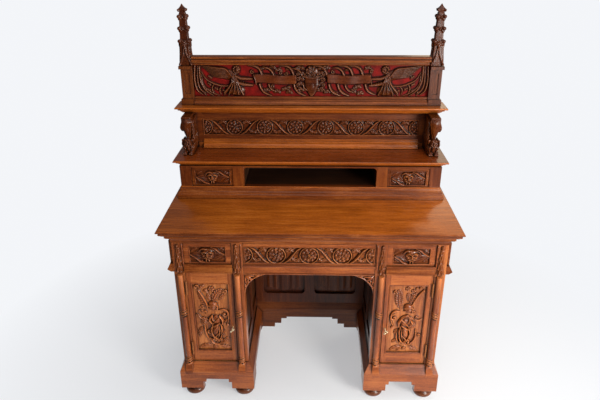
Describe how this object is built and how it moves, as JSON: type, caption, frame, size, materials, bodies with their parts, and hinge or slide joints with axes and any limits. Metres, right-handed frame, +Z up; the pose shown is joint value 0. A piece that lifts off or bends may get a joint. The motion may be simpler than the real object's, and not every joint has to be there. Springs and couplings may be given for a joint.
{
  "type": "writing desk",
  "caption": "Gothic revival kneehole writing desk in carved oak: two door pedestals, drawers, a low gallery, two shelves and a carved crest between crocketed pinnacles.",
  "frame": {"origin": "on the floor, at the middle of the outline", "axes": "+X to the right as the sitter faces the desk, -Y to the front, +Z up"},
  "size_m": [1.096, 0.52, 1.503],
  "materials": {
    "oak": "varnished brown oak",
    "polished_oak": "polished orange-brown oak",
    "dark_oak": "varnished dark red-brown oak",
    "plain_oak": "waxed inner oak",
    "red_ground": "red paint on wood",
    "brass": "worn brass",
    "steel": "plain steel"
  },
  "bodies": {
    "desk": {"base_mouldings": "oak", "beast_brackets": "dark_oak", "bun_feet": "oak", "colonnettes": "oak", "corner_posts": "oak", "crest_carving": "dark_oak", "crest_panel": "red_ground", "crest_rails": "dark_oak", "cupboard_floors": "plain_oak", "cupboard_shelves": "plain_oak", "desk_top": "polished_oak", "drawer_runners": "plain_oak", "frieze_frame": "dark_oak", "frieze_panel": "dark_oak", "front_and_back_rails": "oak", "gallery_back": "plain_oak", "gallery_base_mouldings": "dark_oak", "gallery_floor": "plain_oak", "gallery_frame": "dark_oak", "gallery_walls": "dark_oak", "gothic_posts": "dark_oak", "hinges_on_posts": "brass", "knee_back_frame": "dark_oak", "knee_back_panels": "dark_oak", "knee_rail": "oak", "leaf_drops": "oak", "lower_shelf": "polished_oak", "pedestal_backs": "plain_oak", "pinnacles": "dark_oak", "plinths": "oak", "side_friezes": "oak", "side_panels": "oak", "side_rails": "oak", "spandrels": "oak", "top_bed_mouldings": "oak", "upper_shelf": "polished_oak", "waist_mouldings": "oak"},
    "left_door": {"left_door_frame": "oak", "left_door_panel": "oak", "left_door_hinges": "brass", "left_door_lock": "brass"},
    "left_key": {"left_key": "brass"},
    "left_bolt": {"left_bolt": "steel"},
    "left_drawer": {"left_drawer_front": "oak", "left_drawer_box": "plain_oak"},
    "left_gallery_drawer": {"left_gallery_drawer": "oak"},
    "right_door": {"right_door_frame": "oak", "right_door_panel": "oak", "right_door_hinges": "brass", "right_door_lock": "brass"},
    "right_key": {"right_key": "brass"},
    "right_bolt": {"right_bolt": "steel"},
    "right_drawer": {"right_drawer_front": "oak", "right_drawer_box": "plain_oak"},
    "right_gallery_drawer": {"right_gallery_drawer": "oak"},
    "centre_drawer": {"centre_drawer_front": "oak", "centre_drawer_box": "plain_oak", "centre_lock": "brass"},
    "centre_key": {"centre_key": "brass"},
    "centre_bolt": {"centre_bolt": "steel"}
  },
  "joints": [
    {"name": "right_door_hinge", "type": "hinge", "parent": "desk", "child": "right_door", "pos_m": [0.4665, -0.2205, 0.377], "axis": [0, 0, 1], "range_deg": [0, 90]},
    {"name": "right_key_turn", "type": "hinge", "parent": "right_door", "child": "right_key", "pos_m": [0.2992, -0.213, 0.335], "axis": [0, 1, 0], "range_deg": [0, 180]},
    {"name": "right_bolt_throw", "type": "slide", "parent": "right_door", "child": "right_bolt", "axis": [-1, 0, 0], "range_m": [0, 0.008]},
    {"name": "right_drawer_slide", "type": "slide", "parent": "desk", "child": "right_drawer", "axis": [0, -1, 0], "range_m": [0, 0.28]},
    {"name": "right_gallery_drawer_slide", "type": "slide", "parent": "desk", "child": "right_gallery_drawer", "axis": [0, -1, 0], "range_m": [0, 0.11]},
    {"name": "left_door_hinge", "type": "hinge", "parent": "desk", "child": "left_door", "pos_m": [-0.4665, -0.2205, 0.377], "axis": [0, 0, -1], "range_deg": [0, 90]},
    {"name": "left_key_turn", "type": "hinge", "parent": "left_door", "child": "left_key", "pos_m": [-0.2992, -0.213, 0.335], "axis": [0, 1, 0], "range_deg": [0, 180]},
    {"name": "left_bolt_throw", "type": "slide", "parent": "left_door", "child": "left_bolt", "axis": [1, 0, 0], "range_m": [0, 0.008]},
    {"name": "left_drawer_slide", "type": "slide", "parent": "desk", "child": "left_drawer", "axis": [0, -1, 0], "range_m": [0, 0.28]},
    {"name": "left_gallery_drawer_slide", "type": "slide", "parent": "desk", "child": "left_gallery_drawer", "axis": [0, -1, 0], "range_m": [0, 0.11]},
    {"name": "centre_drawer_slide", "type": "slide", "parent": "desk", "child": "centre_drawer", "axis": [0, -1, 0], "range_m": [0, 0.24]},
    {"name": "centre_key_turn", "type": "hinge", "parent": "centre_drawer", "child": "centre_key", "pos_m": [0, -0.213, 0.6655], "axis": [0, 1, 0], "range_deg": [0, 180]},
    {"name": "centre_bolt_throw", "type": "slide", "parent": "centre_drawer", "child": "centre_bolt", "axis": [0, 0, 1], "range_m": [0, 0.008]}
  ],
  "couplings": [
    {"joint": "right_key_turn", "follows": "right_bolt_throw", "rad_per_m": 392.7},
    {"joint": "left_key_turn", "follows": "left_bolt_throw", "rad_per_m": 392.7},
    {"joint": "centre_key_turn", "follows": "centre_bolt_throw", "rad_per_m": 392.7}
  ]
}
